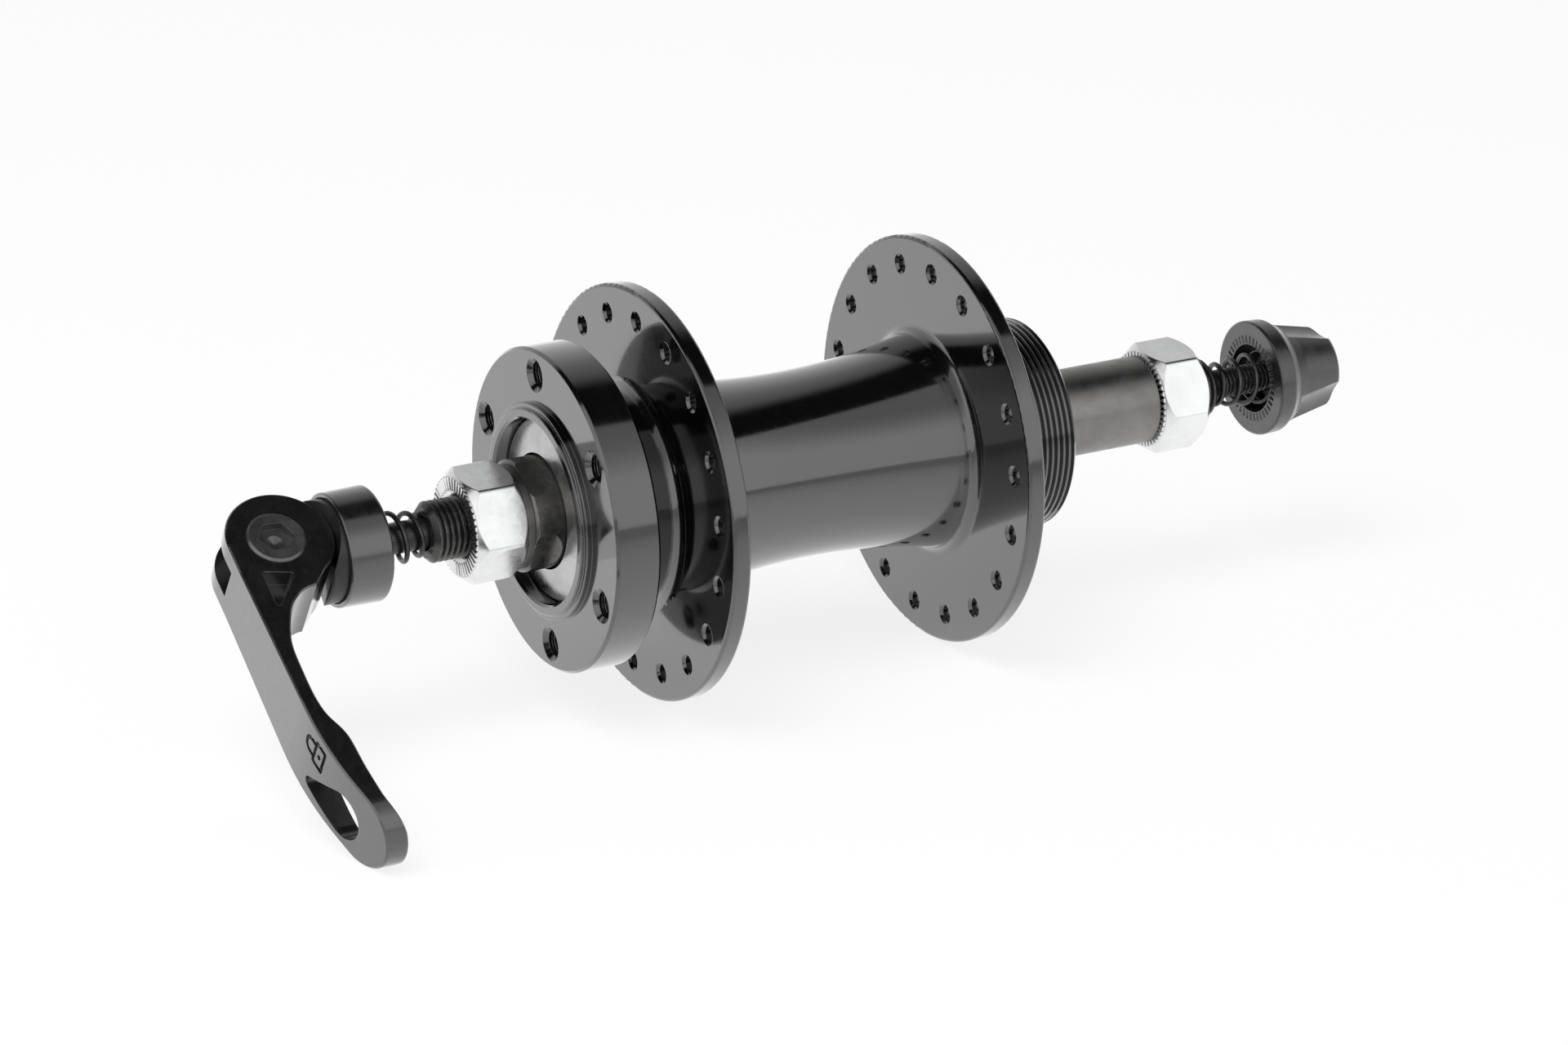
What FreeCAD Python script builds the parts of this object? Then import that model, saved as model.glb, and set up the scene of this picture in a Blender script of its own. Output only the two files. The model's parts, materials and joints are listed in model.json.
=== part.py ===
import FreeCAD, Part
import math
import os

# Bicycle rear hub: disc mount, freewheel thread, cup and cone bearings, quick release.
# Frame: the axle lies on Y with +Y at the disc side, +Z is up, and the origin is the
# middle of the width over the locknuts, which is the centre of the wheel.
# Outlines are lists of (y, radius) points that are turned about the axle.

# Teeth of every serrated face
teeth_depth = 0.3
teeth_width = 0.55
teeth_over = 0.4
cut_over = 0.5

# Axle and width over the locknuts
over_locknut = 135.0
axle_length = 144.5
axle_left_reach = 5.4
axle_r = 4.9
axle_bore_r = 2.9
axle_pitch = 1.0
axle_waist_r = 4.7
axle_chamfer = 0.85
axle_thread_left_length = 33.0
axle_thread_right_length = 45.0
thread_play = 0.05
thread_depth_share = 0.55
thread_land_share = 0.3

# Locknuts, washers and spacer
nut_flats = 16.5
nut_thickness = 9.0
nut_face_r = 8.1
nut_chamfer_angle = 45.0
nut_corner_r = 0.9
nut_left_turn = -68.0
nut_right_turn = -66.0
nut_ring_height = 0.3
nut_ring_sink = 0.3
nut_mouth = 0.9
nut_teeth_count = 48
nut_teeth_inner_r = 6.0
nut_teeth_outer_r = 8.0
washer_thickness = 1.05
washer_left_r = 8.3
washer_right_r = 8.7
key_width = 2.4
key_depth = 1.0
key_play = 0.15
key_turn = 140.0
key_left_length = 30.0
key_right_length = 38.0
spacer_r = 7.3
spacer_chamfer = 0.3

# Bearings
ball_r = 3.175
ball_count = 9
ball_circle_r = 10.0
ball_play = 0.12
ball_left_from_disc = 7.7
ball_right_from_end = 6.8
cup_r = 14.5
cup_web = 5.0
cup_mouth = 3.0
cup_inner_r = 9.4
cup_chamfer = 0.4
cup_seat_gap = 0.2
press_gap = 0.02
cone_left_r = 9.0
cone_right_r = 8.8
cone_nose = 1.6
cone_flats = 16.4
cone_flat_count = 4
cone_flat_depth = 2.2
cone_flat_cutter_r = 4.0
cone_flat_turn = -28.0
cone_chamfer = 0.35
cone_right_stand = 0.15

# Dust caps
dust_wall = 0.8
dust_dish = 1.2
dust_gap = 0.35
dust_r = 14.9
dust_round = 0.9
dust_inner_round = 0.3
dust_right_dish = 0.4
dust_left_sunk = 2.4
dust_right_sunk = 0.8
dust_seat_gap = 0.2

# Hub shell
disc_from_locknut = 15.3
disc_r = 26.1
disc_thickness = 7.6
disc_chamfer = 0.45
register_r = 17.48
register_height = 0.95
lip_r = 16.7
lip_height = 1.55
lip_mouth_r = 15.3
lip_round = 0.3
register_round = 0.2
neck_r = 16.8
neck_fillet = 2.1
neck_disc_fillet = 1.0
flange_r = 33.7
flange_thickness = 3.05
flange_round = 0.55
flange_left_from_disc = 16.2
flange_right_from_end = 18.94
barrel_waist_r = 15.13
barrel_waist_round = 118.0
barrel_flare_start = 22.1
barrel_fillet = 1.8
body_bore_r = 12.4
shoulder_r = 19.5
shoulder_length = 1.5
shoulder_fillet = 0.8
shoulder_round = 0.3
relief_length = 1.2
freewheel_r = 17.3
freewheel_pitch = 1.058
freewheel_turns = 12
freewheel_root_r = 16.7
thread_end_gap = 0.3
hub_end_from_locknut = 31.7

# Holes in the shell
rotor_pcd = 44.0
rotor_count = 6
rotor_turn = 5.26
rotor_minor_r = 2.1
rotor_major_r = 2.5
rotor_pitch = 0.8
rotor_depth = 9.3
rotor_drill_point = 0.8
rotor_mouth_r = 2.85
spoke_pcd = 58.0
spoke_count = 18
spoke_r = 1.3
spoke_mouth_r = 1.75
spoke_left_turn = -2.46
spoke_right_turn = -4.46

# Skewer
rod_r = 2.5
rod_thread_length = 21.0
rod_pitch = 0.8
rod_end_in_nut = 12.8
rod_chamfer = 0.5
rod_play = 0.3
eye_r = 4.7
eye_thickness = 5.2
eye_root = 1.5
pivot_from_cap = 9.9
pin_r = 2.5
pin_play = 0.05
pin_short = 0.1
pin_head_chamfer = 0.35
pin_head_r = 4.65
pin_head_height = 1.7
pin_head_stand = 0.45
pin_socket_flats = 5.0
pin_socket_depth = 1.5
pin_socket_turn = 33.0
pin_seat_play = 0.02
pin_drill_r = 1.3
pin_drill_depth = 0.7

# Lever, in its own frame: along the arm, outward along the axle, across the pivot
head_r = 8.575
head_offset = 0.725
head_corner_angle = -33.0
head_half_width = 5.85
arm_half_width = 6.8
arm_widens_at = 5.0
arm_wide_at = 30.0
tip_centre = 49.7
outer_level = 7.85
outer_bend_at = 31.0
outer_bend_r = 60.0
outer_bend_angle = 15.5
tip_inner_drop = 0.35
slot_half_width = 2.85
slot_edge = 2.8
slot_round_r = 5.3
slot_reach = 14.0
pocket_depth = 3.0
pocket_round = 0.45
pocket_corners = [(5.6, 4.5), (6.9, -0.5), (13.3, 4.7)]
lever_edge_chamfer = 0.25
lever_stock = 40.0
head_over = 2.0
grip_hole_centre = 46.3
grip_hole_side = 1.55
grip_hole_r = 4.0
grip_hole_end = 38.1
grip_hole_end_side = 3.7
grip_hole_end_r = 1.0
mark_depth = 0.5
mark_at = 38.5
mark_side = -3.0
mark_length = 3.2
mark_width = 4.8
arm_mark_reach = 2.4
mark_round = 0.5
mark_inner_round = 0.2
keyhole_r = 0.45
shackle_r = 1.65
shackle_wire = 0.75
shackle_leg = 0.9
lever_counterbore_play = 0.05

# The arm's inner face from the head to the tip, as shares of tip_centre
arm_inner_line = [
    (0.199, -0.058), (0.209, -0.014), (0.245, 0.034), (0.312, 0.072), (0.390, 0.099),
    (0.483, 0.107), (0.614, 0.107), (0.684, 0.093), (0.742, 0.068), (0.805, 0.058),
    (0.875, 0.054), (0.946, 0.046), (1.016, 0.034), (1.066, 0.014), (1.107, -0.004)]

# Cam bush and cap
cam_gap = 0.3
saddle_r = 12.0
bush_r = 8.2
bush_chamfer = 0.3
bush_height = 2.8
cap_length = 7.2
cap_from_locknut = 14.3
cap_left_r = 9.05
cap_right_r = 9.2
cap_rim_r = 8.35
cap_rim_depth = 2.0
cap_recess_r = 6.2
cap_recess_depth = 3.2
cap_round_left = 0.3
cap_round_right = 0.6
cap_teeth_count = 40
cap_teeth_inner_r = 6.3
cap_teeth_outer_r = 8.0

# Adjusting nut
knob_from_locknut = 13.3
flange_face_r = 9.75
flange_face_round = 0.4
flange_band_r = 9.65
flange_band_at = 2.9
flange_band_round = 0.9
flange_foot_r = 8.6
flange_foot_at = 4.4
flange_foot_round = 1.2
knob_base_r = 8.1
knob_base_at = 6.4
knob_end_r = 6.6
knob_length = 14.0
knob_end_round = 1.2
knob_recess_r = 5.8
knob_recess_depth = 3.3
flute_count = 3
flute_turn = -3.0
flute_r = 9.0
flute_centre_r = 14.55
knob_teeth_inner_r = 6.0
knob_teeth_outer_r = 7.3
knob_teeth_count = 40
insert_r = 4.2
insert_length = 2.4
insert_lip = 0.5
insert_mouth = 0.3

# Springs
wire_r = 0.42
spring_turns = 4.5
spring_small_r = 3.05
spring_left_big_r = 5.2
spring_right_big_r = 4.6
spring_seat_gap = 0.1
spring_closed_pitch = 1.45
spring_closed_turns = 0.75

# Places worked out from the sizes above
lock_left_y = over_locknut / 2
lock_right_y = -over_locknut / 2
disc_face_y = lock_left_y - disc_from_locknut
flange_left_y = disc_face_y - flange_left_from_disc
ball_left_y = disc_face_y - ball_left_from_disc
hub_end_y = lock_right_y + hub_end_from_locknut
flange_right_y = hub_end_y + flange_right_from_end
ball_right_y = hub_end_y + ball_right_from_end
cap_right_y = lock_left_y + cap_from_locknut
cap_left_y = cap_right_y + cap_length
bush_top_y = cap_left_y + bush_height
pivot_y = cap_left_y + pivot_from_cap
nut_knob_face_y = lock_right_y - knob_from_locknut
rod_end_y = nut_knob_face_y - rod_end_in_nut
axle_left_y = lock_left_y + axle_left_reach
axle_right_y = axle_left_y - axle_length
washer_left_y = lock_left_y - nut_thickness
cone_left_y = washer_left_y - washer_thickness
spacer_right_y = lock_right_y + nut_thickness
cone_right_y = hub_end_y - cone_right_stand
spacer_left_y = cone_right_y - washer_thickness
race_r = ball_r + ball_play
cup_left_seat_y = ball_left_y + cup_mouth + cup_seat_gap
cup_right_seat_y = ball_right_y - cup_mouth - cup_seat_gap
lip_top_y = disc_face_y + lip_height
nut_bore_r = axle_r + thread_play
rest_angle = math.asin((flange_r - arm_half_width) / tip_centre)


def point(y, r):
    return FreeCAD.Vector(r, y, 0)


def turn_about_axle(shape, degrees):
    # Turns from +Z towards +X, as seen from the disc side.
    copy = shape.copy()
    copy.rotate(FreeCAD.Vector(0, 0, 0), FreeCAD.Vector(0, 1, 0), degrees)
    return copy


def tangent_points(before, corner, after, radius):
    into = (before - corner).normalize()
    out = (after - corner).normalize()
    half = into.getAngle(out) / 2
    reach = radius / math.tan(half)
    middle = (into + out).normalize() * (radius / math.sin(half) - radius)
    return corner + into * reach, corner + middle, corner + out * reach


def closed_wire(corners):
    # A corner is (vector,) or (vector, fillet radius).
    edges = []
    ends = []
    count = len(corners)
    for i in range(count):
        here = corners[i][0]
        if len(corners[i]) > 1:
            before = corners[i - 1][0]
            after = corners[(i + 1) % count][0]
            ends.append(tangent_points(before, here, after, corners[i][1]))
        else:
            ends.append((here, here, here))
    for i in range(count):
        first, middle, last = ends[i]
        if (last - first).Length > 1e-6:
            edges.append(Part.Arc(first, middle, last).toShape())
        following = ends[(i + 1) % count][0]
        if (following - last).Length > 1e-6:
            edges.append(Part.LineSegment(last, following).toShape())
    return Part.Wire(edges)


def turned(outline):
    # An outline point is (y, radius) or (y, radius, fillet).
    corners = [(point(p[0], p[1]),) + tuple(p[2:]) for p in outline]
    face = Part.Face(closed_wire(corners))
    axle = FreeCAD.Vector(0, 1, 0)
    return face.revolve(FreeCAD.Vector(0, 0, 0), axle, 360)


def cylinder(r, y_low, y_high):
    along = FreeCAD.Vector(0, 1, 0)
    return Part.makeCylinder(r, y_high - y_low, FreeCAD.Vector(0, y_low, 0), along)


def thread_outline(y_start, y_end, crest, root, pitch):
    # Rings with flat crests, listed from y_start towards y_end.
    count = int(abs(y_end - y_start) / pitch)
    step = math.copysign(pitch, y_end - y_start)
    land = step * thread_land_share
    points = []
    for i in range(count):
        y = y_start + i * step
        points.append((y, crest))
        points.append((y + land, crest))
        points.append((y + (step + land) / 2, root))
    points.append((y_start + count * step, crest))
    return points


def cut_all(shape, tools):
    return shape.cut(Part.makeCompound(tools))


def ring_of(tool, count, start):
    return [turn_about_axle(tool, start + i * 360.0 / count) for i in range(count)]


def teeth_tools(face_y, outward, inner_r, outer_r, count):
    # V grooves across a raised ring, open on the face side.
    over = cut_over / 2
    low = face_y - outward * teeth_depth
    high = face_y + outward * over
    half = teeth_width / 2 * (teeth_depth + over) / teeth_depth
    bottom = FreeCAD.Vector(0, low, inner_r)
    left = FreeCAD.Vector(-half, high, inner_r)
    right = FreeCAD.Vector(half, high, inner_r)
    face = Part.Face(Part.makePolygon([bottom, left, right, bottom]))
    groove = face.extrude(FreeCAD.Vector(0, 0, outer_r - inner_r))
    return ring_of(groove, count, 180.0 / count)


# Root body: axle, cones, washers, spacer and locknuts

def make_axle():
    root = axle_r - axle_pitch * thread_depth_share
    left_start = axle_left_y - axle_chamfer
    right_start = axle_right_y + axle_chamfer
    left_end = left_start - axle_thread_left_length
    right_end = right_start + axle_thread_right_length
    outline = [(axle_left_y, axle_bore_r), (axle_left_y, axle_r - axle_chamfer)]
    outline += thread_outline(left_start, left_end, axle_r, root, axle_pitch)
    outline += [(left_end - axle_pitch, axle_waist_r), (right_end + axle_pitch, axle_waist_r)]
    outline += thread_outline(right_start, right_end, axle_r, root, axle_pitch)[::-1]
    outline += [(axle_right_y, axle_r - axle_chamfer), (axle_right_y, axle_bore_r)]
    solid = turned(outline)
    return cut_all(solid, [key_slot(axle_left_y, -1), key_slot(axle_right_y, 1)])


def key_slot(end_y, inward):
    # Keyway for the washer, along the far side of the thread.
    over = key_depth
    length = key_left_length if inward < 0 else key_right_length
    low = end_y - length if inward < 0 else end_y - over
    box = Part.makeBox(key_width, length + over, key_depth + over)
    box.translate(FreeCAD.Vector(-key_width / 2, low, axle_r - key_depth))
    return turn_about_axle(box, key_turn)


def locknut(inner_y, outer_y, teeth_y, flat_turn):
    # The hexagon runs from inner_y to outer_y, and teeth_y is the end with the teeth.
    corner_r = nut_flats / 2 / math.cos(math.radians(30))
    drop = (corner_r - nut_face_r) * math.tan(math.radians(nut_chamfer_angle))
    out = math.copysign(1, outer_y - inner_y)
    teeth_side = math.copysign(1, teeth_y - (inner_y + outer_y) / 2)
    plain_out = outer_y - out * (nut_ring_height if teeth_side == out else 0)
    plain_in = inner_y + out * (nut_ring_height if teeth_side != out else 0)
    turned_body = turned([
        (plain_in, nut_bore_r), (plain_in, nut_face_r),
        (plain_in + out * drop, corner_r), (plain_out - out * drop, corner_r),
        (plain_out, nut_face_r), (plain_out, nut_bore_r)])
    corners = []
    for i in range(6):
        angle = math.radians(60 * i + 30)
        corners.append(FreeCAD.Vector(corner_r * math.sin(angle), 0, corner_r * math.cos(angle)))
    rounded = closed_wire([(corner, nut_corner_r) for corner in corners])
    prism = Part.Face(rounded).extrude(FreeCAD.Vector(0, nut_thickness * 2, 0))
    prism.translate(FreeCAD.Vector(0, min(inner_y, outer_y) - nut_thickness / 2, 0))
    body = turned_body.common(turn_about_axle(prism, flat_turn))
    sunk = teeth_y - teeth_side * (nut_ring_height + nut_ring_sink)
    ring = turned([
        (sunk, nut_bore_r), (sunk, nut_teeth_outer_r),
        (teeth_y, nut_teeth_outer_r), (teeth_y, nut_bore_r)])
    mouth_y = teeth_y - teeth_side * nut_mouth
    mouth = turned([
        (teeth_y, 0), (teeth_y, nut_teeth_inner_r), (mouth_y, nut_bore_r), (mouth_y, 0)])
    tools = teeth_tools(teeth_y, teeth_side, nut_teeth_inner_r - teeth_over,
                        nut_teeth_outer_r + teeth_over, nut_teeth_count)
    return cut_all(body.fuse(ring), tools + [mouth])


def keyed_washer(y_low, y_high, r):
    ring = cylinder(r, y_low, y_high).cut(cylinder(nut_bore_r, y_low, y_high))
    width = key_width - 2 * key_play
    depth = key_depth + key_play
    box = Part.makeBox(width, y_high - y_low, depth)
    box.translate(FreeCAD.Vector(-width / 2, y_low, axle_r - key_depth + key_play))
    return ring.fuse(turn_about_axle(box, key_turn)).removeSplitter()


def race_points(ball_y, side, start, end, steps):
    # Points of the ball track, as angles from the outboard direction.
    points = []
    for i in range(steps + 1):
        angle = math.radians(start + (end - start) * i / steps)
        y = ball_y + side * race_r * math.cos(angle)
        points.append((y, ball_circle_r + race_r * math.sin(angle)))
    return points


def arc_between(ball_y, side, start, end):
    return [point(*p) for p in race_points(ball_y, side, start, end, 2)]


def turned_with_arc(outline, arc):
    # The outline is open, runs from the arc's end to its start, and the arc closes it.
    points = [arc[2]] + [point(*p) for p in outline] + [arc[0]]
    edges = [Part.Arc(arc[0], arc[1], arc[2]).toShape()]
    for a, b in zip(points, points[1:]):
        edges.append(Part.LineSegment(a, b).toShape())
    face = Part.Face(Part.Wire(edges))
    return face.revolve(FreeCAD.Vector(0, 0, 0), FreeCAD.Vector(0, 1, 0), 360)


def bearing_cone(ball_y, side, outer_y, collar_r):
    start = -math.degrees(math.asin((ball_circle_r - collar_r) / race_r))
    arc = arc_between(ball_y, side, start, -90)
    foot_r = ball_circle_r - race_r
    nose_y = ball_y - side * cone_nose
    outline = [
        (nose_y, foot_r), (nose_y, nut_bore_r), (outer_y, nut_bore_r),
        (outer_y, collar_r - cone_chamfer), (outer_y - side * cone_chamfer, collar_r)]
    return turned_with_arc(outline, arc)


def flats_cut(solid, outer_y):
    # Four spanner flats, milled with a round cutter that leaves leaf-shaped ends.
    far = cone_left_r
    wide = 4 * far
    flat_end = outer_y - cone_flat_depth
    half = cone_flats / 2
    slab = Part.makeBox(wide, far + cone_flat_depth, far)
    slab.translate(FreeCAD.Vector(-wide / 2, flat_end, half))
    start = FreeCAD.Vector(-wide / 2, flat_end, half + cone_flat_cutter_r)
    runout = Part.makeCylinder(cone_flat_cutter_r, wide, start, FreeCAD.Vector(1, 0, 0))
    tools = ring_of(slab.fuse(runout), cone_flat_count, cone_flat_turn)
    return cut_all(solid, tools)


def make_cone_left():
    return flats_cut(bearing_cone(ball_left_y, 1, cone_left_y, cone_left_r), cone_left_y)


def make_cone_right():
    return bearing_cone(ball_right_y, -1, cone_right_y, cone_right_r)


def make_spacer():
    c = spacer_chamfer
    return turned([
        (spacer_right_y, nut_bore_r), (spacer_right_y, spacer_r - c),
        (spacer_right_y + c, spacer_r), (spacer_left_y - c, spacer_r),
        (spacer_left_y, spacer_r - c), (spacer_left_y, nut_bore_r)])


# Shell body: hub shell, cups and dust caps

def bearing_cup(ball_y, side):
    # The track's inboard end meets the cup's inner bore.
    end = 180 + math.degrees(math.asin((ball_circle_r - cup_inner_r) / race_r))
    arc = arc_between(ball_y, side, 90, end)
    web_y = ball_y - side * cup_web
    mouth_y = ball_y + side * cup_mouth
    outer_r = cup_r - press_gap
    outline = [
        (web_y, cup_inner_r), (web_y, outer_r - cup_chamfer), (web_y + side * cup_chamfer, outer_r),
        (mouth_y - side * cup_chamfer, outer_r), (mouth_y, outer_r - cup_chamfer),
        (mouth_y, ball_circle_r + race_r)]
    return turned_with_arc(outline, arc)


def dust_cap(skirt_y, outer_y, hole_r, dish):
    # Pressed sheet: a skirt in the bore and a dished face with the hole for the cone.
    side = math.copysign(1, outer_y - skirt_y)
    out_r = dust_r - press_gap
    return turned([
        (skirt_y, out_r - dust_wall), (skirt_y, out_r),
        (outer_y, out_r, dust_round), (outer_y + side * dish, hole_r),
        (outer_y + side * (dish - dust_wall), hole_r),
        (outer_y - side * dust_wall, out_r - dust_wall, dust_inner_round)])


def threaded_hole_tool():
    # Cuts an M5 hole with ringed thread, its mouth at the disc face.
    bottom = disc_face_y - rotor_depth
    mouth = rotor_mouth_r - rotor_minor_r
    start = disc_face_y - mouth - rotor_pitch / 4
    outline = [(disc_face_y + cut_over, 0), (disc_face_y + cut_over, rotor_mouth_r),
               (disc_face_y, rotor_mouth_r), (disc_face_y - mouth, rotor_minor_r)]
    thread_low = bottom + rotor_drill_point
    outline += thread_outline(start, thread_low, rotor_minor_r, rotor_major_r, rotor_pitch)
    outline += [(bottom, rotor_minor_r), (bottom, 0)]
    tool = turned(outline)
    tool.translate(FreeCAD.Vector(0, 0, rotor_pcd / 2))
    return tool


def spoke_hole_tool(outer_y):
    # outer_y is the flange face with the larger y.
    inner_y = outer_y - flange_thickness
    deep = spoke_mouth_r - spoke_r
    over = cut_over / 2
    tool = turned([
        (outer_y + over, 0), (outer_y + over, spoke_mouth_r + over),
        (outer_y - deep, spoke_r), (inner_y + deep, spoke_r),
        (inner_y - over, spoke_mouth_r + over), (inner_y - over, 0)])
    tool.translate(FreeCAD.Vector(0, 0, spoke_pcd / 2))
    return tool


def shell_outline():
    disc_back = disc_face_y - disc_thickness
    left_in = flange_left_y - flange_thickness
    right_in = flange_right_y
    right_out = flange_right_y - flange_thickness
    step_y = disc_face_y + register_height
    shoulder_y = right_out - shoulder_length
    relief_y = shoulder_y - relief_length
    thread_end = relief_y - freewheel_turns * freewheel_pitch
    end_r = freewheel_r - (thread_end - hub_end_y)
    lean = math.asin(barrel_flare_start / barrel_waist_round)
    waist_y = (left_in + right_in) / 2
    waist_corner_r = barrel_waist_r - barrel_waist_round * (1 / math.cos(lean) - 1)
    barrel_end_r = waist_corner_r + (left_in - waist_y) * math.tan(lean)
    cup_left_in = ball_left_y - cup_web
    cup_right_in = ball_right_y + cup_web
    outline = [
        (lip_top_y, lip_mouth_r), (lip_top_y, lip_r, lip_round), (step_y, lip_r, register_round),
        (step_y, register_r, register_round), (disc_face_y, register_r),
        (disc_face_y, disc_r - disc_chamfer), (disc_face_y - disc_chamfer, disc_r),
        (disc_back + disc_chamfer, disc_r), (disc_back, disc_r - disc_chamfer),
        (disc_back, neck_r, neck_disc_fillet), (flange_left_y, neck_r, neck_fillet),
        (flange_left_y, flange_r, flange_round), (left_in, flange_r, flange_round),
        (left_in, barrel_end_r, barrel_fillet), (waist_y, waist_corner_r, barrel_waist_round),
        (right_in, barrel_end_r, barrel_fillet),
        (right_in, flange_r, flange_round), (right_out, flange_r, flange_round),
        (right_out, shoulder_r, shoulder_fillet), (shoulder_y, shoulder_r, shoulder_round),
        (shoulder_y, freewheel_root_r), (relief_y + thread_end_gap, freewheel_root_r)]
    outline += thread_outline(relief_y, thread_end - thread_end_gap / 2,
                              freewheel_r, freewheel_root_r, freewheel_pitch)
    outline += [
        (hub_end_y, end_r), (hub_end_y, dust_r), (cup_right_seat_y, dust_r),
        (cup_right_seat_y, cup_r), (cup_right_in, cup_r), (cup_right_in, body_bore_r),
        (cup_left_in, body_bore_r), (cup_left_in, cup_r), (cup_left_seat_y, cup_r),
        (cup_left_seat_y, dust_r), (lip_top_y - (lip_mouth_r - dust_r), dust_r)]
    return outline


def make_hub_shell():
    tools = ring_of(threaded_hole_tool(), rotor_count, rotor_turn)
    tools += ring_of(spoke_hole_tool(flange_left_y), spoke_count, spoke_left_turn)
    tools += ring_of(spoke_hole_tool(flange_right_y), spoke_count, spoke_right_turn)
    return cut_all(turned(shell_outline()), tools)


def ball_set(ball_y):
    ball = Part.makeSphere(ball_r)
    ball.translate(FreeCAD.Vector(0, ball_y, ball_circle_r))
    return Part.makeCompound(ring_of(ball, ball_count, 0))


# Quick release: the lever's frame has x along the arm, y outward and z across

def lever_placement():
    c = math.cos(rest_angle)
    s = math.sin(rest_angle)
    matrix = FreeCAD.Matrix(-c, 0, s, 0, 0, 1, 0, pivot_y, -s, 0, -c, 0, 0, 0, 0, 1)
    return FreeCAD.Placement(matrix)


def placed(shape):
    shape.Placement = lever_placement().multiply(shape.Placement)
    return shape


def flat(x, y):
    return FreeCAD.Vector(x, y, 0)


def side_profile():
    # The lever seen along its pivot: round cam head, thin arm, finger bump and turned tip.
    reach = tip_centre + arm_half_width
    bend = math.radians(outer_bend_angle)
    curve_end = outer_bend_at + outer_bend_r * math.sin(bend)
    curve_drop = outer_bend_r * (1 - math.cos(bend))
    half = bend / 2
    curve_mid = flat(outer_bend_at + outer_bend_r * math.sin(half),
                     outer_level - outer_bend_r * (1 - math.cos(half)))
    bend_end = flat(curve_end, outer_level - curve_drop)
    tip_outer = flat(reach, bend_end.y - (reach - curve_end) * math.tan(bend))
    head_centre = flat(0, -head_offset)
    corner_angle = math.radians(head_corner_angle)
    corner = head_centre + flat(head_r * math.cos(corner_angle), head_r * math.sin(corner_angle))
    head_top = head_centre + flat(0, head_r)
    head_far = head_centre + flat(-head_r, 0)
    head_low = head_centre + flat(0, -head_r)
    low_angle = (corner_angle - math.pi / 2) / 2
    low_mid = head_centre + flat(head_r * math.cos(low_angle), head_r * math.sin(low_angle))
    slant = head_r * math.sin(math.radians(45))
    far_up = head_centre + flat(-slant, slant)
    far_low = head_centre + flat(-slant, -slant)
    inner = [flat(x * tip_centre, y * tip_centre) for x, y in arm_inner_line]
    curve = Part.BSplineCurve()
    curve.interpolate(inner)
    last = inner[-1]
    tip_inner = flat(reach, last.y - tip_inner_drop)
    edges = [
        Part.Arc(corner, low_mid, head_low).toShape(),
        Part.Arc(head_low, far_low, head_far).toShape(),
        Part.Arc(head_far, far_up, head_top).toShape(),
        Part.LineSegment(head_top, flat(outer_bend_at, outer_level)).toShape(),
        Part.Arc(flat(outer_bend_at, outer_level), curve_mid, bend_end).toShape(),
        Part.LineSegment(bend_end, tip_outer).toShape(),
        Part.LineSegment(tip_outer, tip_inner).toShape(),
        Part.LineSegment(tip_inner, last).toShape(),
        curve.toShape(),
        Part.LineSegment(inner[0], corner).toShape()]
    return Part.Face(Part.Wire(Part.__sortEdges__(edges)))


def lever_plan():
    # The lever seen from outside: parallel at the head, wider arm, round tip.
    back = -head_r - head_over
    w0 = head_half_width
    w1 = arm_half_width
    corners = [
        flat(back, w0), flat(arm_widens_at, w0), flat(arm_wide_at, w1),
        flat(tip_centre, w1), flat(tip_centre + w1, 0), flat(tip_centre, -w1),
        flat(arm_wide_at, -w1), flat(arm_widens_at, -w0), flat(back, -w0)]
    edges = [Part.LineSegment(a, b).toShape() for a, b in zip(corners[:3], corners[1:4])]
    edges.append(Part.Arc(corners[3], corners[4], corners[5]).toShape())
    edges += [Part.LineSegment(a, b).toShape() for a, b in zip(corners[5:8], corners[6:9])]
    edges.append(Part.LineSegment(corners[8], corners[0]).toShape())
    return seen_from_outside(Part.Face(Part.Wire(edges)))


def grip_hole_tool():
    # Teardrop through the arm: two circles and their outer tangents.
    big = flat(grip_hole_centre, grip_hole_side)
    small = flat(grip_hole_end, grip_hole_end_side)
    between = big - small
    lean = math.atan2(between.y, between.x)
    spread = math.asin((grip_hole_r - grip_hole_end_r) / between.Length)
    up = lean + math.pi / 2 + spread
    down = lean - math.pi / 2 - spread

    def rim(centre, r, angle):
        return centre + flat(r * math.cos(angle), r * math.sin(angle))

    a = rim(big, grip_hole_r, up)
    b = rim(small, grip_hole_end_r, up)
    c = rim(small, grip_hole_end_r, down)
    d = rim(big, grip_hole_r, down)
    edges = [
        Part.LineSegment(a, b).toShape(),
        Part.Arc(b, rim(small, grip_hole_end_r, lean + math.pi), c).toShape(),
        Part.LineSegment(c, d).toShape(),
        Part.Arc(d, rim(big, grip_hole_r, lean), a).toShape()]
    return seen_from_outside(Part.Face(Part.Wire(edges)))


def pocket_tool():
    # Three-cornered pocket in the head's upper face.
    wire = closed_wire([(flat(x, y), pocket_round) for x, y in pocket_corners])
    solid = Part.Face(wire).extrude(FreeCAD.Vector(0, 0, pocket_depth + cut_over))
    solid.translate(FreeCAD.Vector(0, 0, -head_half_width - cut_over))
    return solid


def slot_tools():
    # Room for the rod's eye, and for the rod as the lever swings out.
    w = slot_half_width
    box = Part.makeBox(slot_reach + slot_edge, 2 * slot_reach, 2 * w)
    box.translate(FreeCAD.Vector(-slot_reach, -slot_reach, -w))
    round_part = Part.makeCylinder(slot_round_r, 2 * w, FreeCAD.Vector(0, 0, -w))
    return [box, round_part]


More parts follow.
